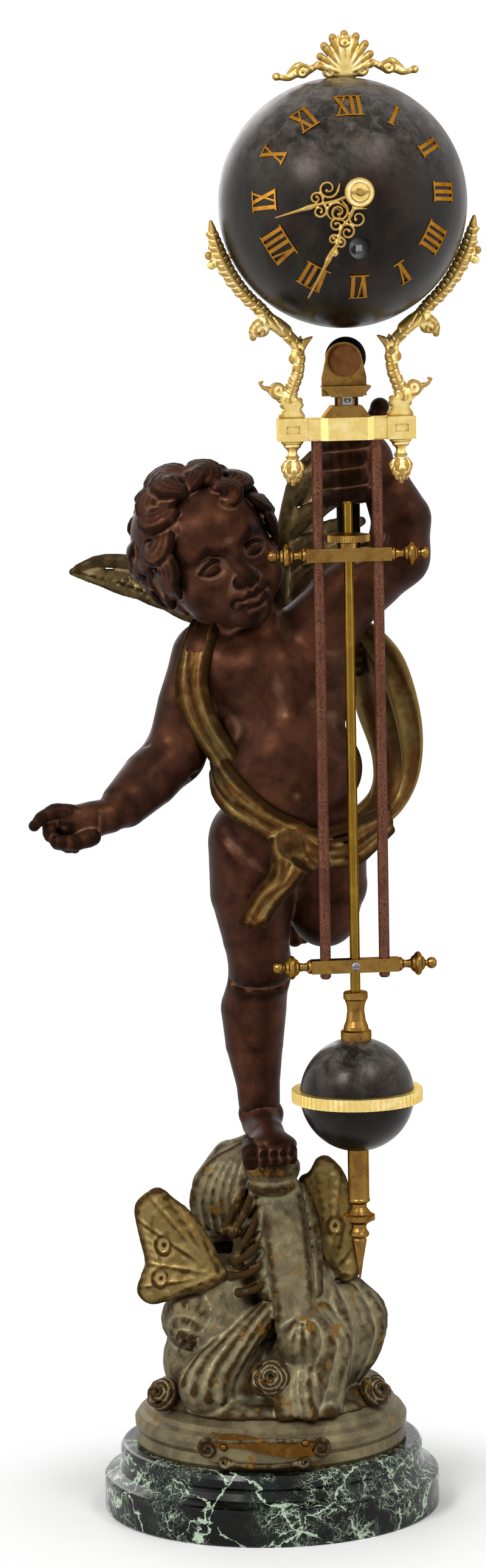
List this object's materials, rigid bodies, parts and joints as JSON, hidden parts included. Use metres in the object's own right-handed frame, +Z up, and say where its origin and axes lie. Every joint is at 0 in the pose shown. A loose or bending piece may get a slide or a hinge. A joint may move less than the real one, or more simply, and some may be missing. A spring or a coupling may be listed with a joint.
{
  "type": "mystery clock",
  "caption": "Figural mystery clock: a cast winged child on a shell base holds up a swinging ball clock whose lyre pendulum and bob hang from a knife edge.",
  "frame": {"origin": "centre of the marble foot's underside, on the table", "axes": "+Z up, -Y towards the viewer of the dial, +X to that viewer's right"},
  "size_m": [0.2305, 0.2181, 0.7637],
  "materials": {
    "marble": "polished dark green marble with pale veins",
    "fixing_steel": "plain turned steel",
    "olive_patina": "cast white metal with olive patina",
    "ribbon_bronze": "polished bronze with dark recesses",
    "figure_patina": "cast white metal with dark brown bronze patina, waxed",
    "drapery_patina": "cast white metal with ochre and olive bronze patina",
    "wing_patina": "cast white metal with olive bronze patina",
    "black_bracket": "black lacquered iron",
    "aged_brass": "turned brass, aged",
    "pivot_steel": "hardened steel, ground",
    "knurled_bronze": "spun bronze face with knurled edge",
    "gilt": "matt gilt casting",
    "rusted_steel": "steel tube with brown rust bloom",
    "gunmetal": "spun brass, blackened and lacquered",
    "numeral_brass": "stamped brass",
    "movement_brass": "machined brass",
    "blue_spring": "tempered spring steel",
    "rod_brass": "drawn brass rod",
    "lead": "cast lead"
  },
  "bodies": {
    "stand": {"marble_base": "marble", "clamp_studs": "fixing_steel", "clamp_washers": "fixing_steel", "clamp_nuts": "fixing_steel", "cast_plinth": "olive_patina", "trophy_mound": "olive_patina", "strap_pier": "olive_patina", "left_moth_wing": "olive_patina", "right_moth_wing": "olive_patina", "base_roses": "olive_patina", "ribbon_plate": "ribbon_bronze", "ribbon_rivets": "ribbon_bronze", "figure_body": "figure_patina", "figure_head": "figure_patina", "figure_free_arm": "figure_patina", "figure_raised_arm": "figure_patina", "figure_back_leg": "figure_patina", "figure_sash": "drapery_patina", "flying_drape": "drapery_patina", "left_figure_wing": "wing_patina", "right_figure_wing": "wing_patina", "bracket_post": "black_bracket", "suspension_plate": "aged_brass", "suspension_cheek": "aged_brass", "bearing_hooks": "pivot_steel"},
    "clamp_screw": {"thumbscrew": "knurled_bronze"},
    "pendulum": {"knife_carrier": "aged_brass", "knife_blade": "pivot_steel", "yoke": "gilt", "left_lyre_arm": "gilt", "right_lyre_arm": "gilt", "cradle_screws": "gilt", "acorn_finials": "gilt", "side_rods": "rusted_steel", "upper_crossbar": "aged_brass", "lower_crossbar": "aged_brass", "crossbar_finials": "aged_brass", "lock_screw": "pivot_steel", "ball_front_shell": "gunmetal", "ball_rear_shell": "gunmetal", "crest": "gilt", "dial_numerals": "numeral_brass", "movement_frame": "movement_brass"},
    "barrel": {"mainspring_barrel": "movement_brass", "mainspring": "blue_spring"},
    "key_arbor": {"winding_arbor": "pivot_steel"},
    "minute_work": {"centre_wheel": "movement_brass", "minute_hand": "gilt"},
    "motion_wheel": {"minute_wheel": "movement_brass"},
    "hour_work": {"hour_hand": "gilt"},
    "third": {"third_wheel": "movement_brass"},
    "escape": {"escape_wheel": "movement_brass"},
    "drive_pendulum": {"inner_pendulum": "pivot_steel"},
    "bob": {"bob_rod": "rod_brass", "bob_socket": "aged_brass", "bob_shell": "gunmetal", "bob_lead": "lead", "bob_ring": "gilt", "bob_tail": "aged_brass"},
    "nut": {"rating_nut": "aged_brass"}
  },
  "joints": [
    {"name": "pendulum_swing", "type": "hinge", "parent": "stand", "child": "pendulum", "pos_m": [0.0469, -0.06, 0.582], "axis": [-0.1045, 0.9945, 0], "range_deg": [-4, 4]},
    {"name": "clamp_screw_turn", "type": "hinge", "parent": "stand", "child": "clamp_screw", "pos_m": [0.0469, -0.06, 0.6028], "axis": [0.1045, -0.9945, 0], "range_deg": [-360, 360]},
    {"name": "rating_nut_turn", "type": "hinge", "parent": "pendulum", "child": "nut", "pos_m": [0.0469, -0.06, 0.512], "axis": [0, 0, 1], "range_deg": [-1082, 1082]},
    {"name": "bob_slide", "type": "slide", "parent": "pendulum", "child": "bob", "axis": [0, 0, 1], "range_m": [-0.0021, 0.0021]},
    {"name": "minute_hand_turn", "type": "hinge", "parent": "pendulum", "child": "minute_work", "pos_m": [0.05002, -0.08972, 0.68402], "axis": [0.1041, -0.9907, 0.0872], "continuous": true},
    {"name": "hour_hand_turn", "type": "hinge", "parent": "pendulum", "child": "hour_work", "pos_m": [0.05263, -0.11449, 0.68619], "axis": [0.1041, -0.9907, 0.0872], "continuous": true},
    {"name": "minute_wheel_turn", "type": "hinge", "parent": "pendulum", "child": "motion_wheel", "pos_m": [0.05792, -0.09927, 0.69222], "axis": [0.1041, -0.9907, 0.0872], "continuous": true},
    {"name": "barrel_turn", "type": "hinge", "parent": "pendulum", "child": "barrel", "pos_m": [0.05061, -0.08793, 0.65778], "axis": [0.1041, -0.9907, 0.0872], "continuous": true},
    {"name": "third_wheel_turn", "type": "hinge", "parent": "pendulum", "child": "third", "pos_m": [0.06639, -0.08542, 0.69047], "axis": [0.1041, -0.9907, 0.0872], "continuous": true},
    {"name": "escape_wheel_turn", "type": "hinge", "parent": "pendulum", "child": "escape", "pos_m": [0.05932, -0.08297, 0.70371], "axis": [0.1041, -0.9907, 0.0872], "continuous": true},
    {"name": "inner_pendulum_swing", "type": "hinge", "parent": "pendulum", "child": "drive_pendulum", "pos_m": [0.04794, -0.07756, 0.71003], "axis": [0.1041, -0.9907, 0.0872], "range_deg": [-5, 5]},
    {"name": "winding_arbor_turn", "type": "hinge", "parent": "pendulum", "child": "key_arbor", "pos_m": [0.05207, -0.1018, 0.659], "axis": [0.1041, -0.9907, 0.0872], "continuous": true}
  ],
  "couplings": [
    {"joint": "hour_hand_turn", "follows": "minute_hand_turn", "ratio": 0.083333},
    {"joint": "minute_wheel_turn", "follows": "minute_hand_turn", "ratio": -0.33333},
    {"joint": "barrel_turn", "follows": "minute_hand_turn", "ratio": -0.2037},
    {"joint": "third_wheel_turn", "follows": "minute_hand_turn", "ratio": -8},
    {"joint": "escape_wheel_turn", "follows": "minute_hand_turn", "ratio": 68.571},
    {"joint": "rating_nut_turn", "follows": "bob_slide", "rad_per_m": -8976}
  ]
}
